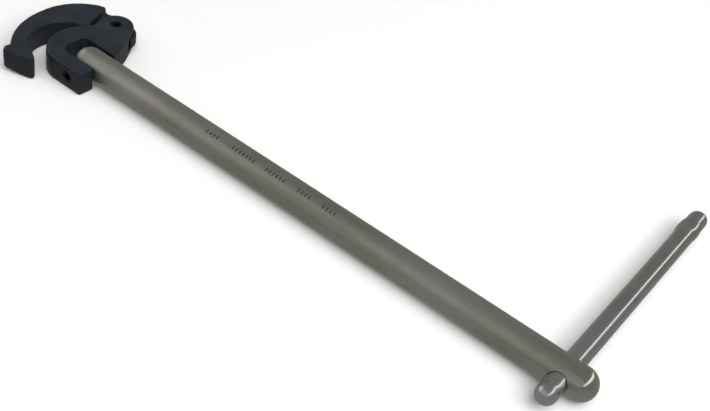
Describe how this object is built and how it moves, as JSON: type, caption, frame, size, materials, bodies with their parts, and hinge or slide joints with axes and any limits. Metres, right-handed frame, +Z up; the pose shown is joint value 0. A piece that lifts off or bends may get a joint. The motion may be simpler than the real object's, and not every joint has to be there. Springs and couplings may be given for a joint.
{
  "type": "basin wrench",
  "caption": "Basin wrench: a long round shank with a sliding T-bar and a swinging head whose spring-closed hook jaw grips nuts in tight places.",
  "frame": {"origin": "on the head's flat underside, on the shank's centre line, between the fork's floor and the heel", "axes": "+X along the shank towards the handle, +Y along the T-bar's long end, +Z up off the surface it lies on"},
  "size_m": [0.2823, 0.1439, 0.0129],
  "materials": {
    "satin_nickel": "satin nickel plate",
    "chrome_bar": "polished chrome plate",
    "black_forging": "black oxide on forged steel",
    "spring_steel": "oiled spring steel"
  },
  "bodies": {
    "shank": {"shank": "satin_nickel"},
    "t_bar": {"t_bar": "chrome_bar"},
    "head": {"head_body": "black_forging", "cross_pin": "spring_steel", "pivot_pin": "spring_steel"},
    "hook": {"hook_jaw": "black_forging", "jaw_spring": "spring_steel"}
  },
  "joints": [
    {"name": "t_bar_slide", "type": "slide", "parent": "shank", "child": "t_bar", "axis": [0, -1, 0], "range_m": [-0.0007, 0.0925]},
    {"name": "head_swivel", "type": "hinge", "parent": "shank", "child": "head", "pos_m": [0.017, 0, 0.0053], "axis": [0, 1, 0], "range_deg": [-120, 120]},
    {"name": "hook_pivot", "type": "hinge", "parent": "head", "child": "hook", "pos_m": [0.0049, 0.0239, 0.0053], "axis": [0, 0, -1], "range_deg": [0, 50], "stiffness_Nm_per_rad": 0.09, "springref_deg": -24.98, "deforming": ["jaw_spring"]}
  ]
}
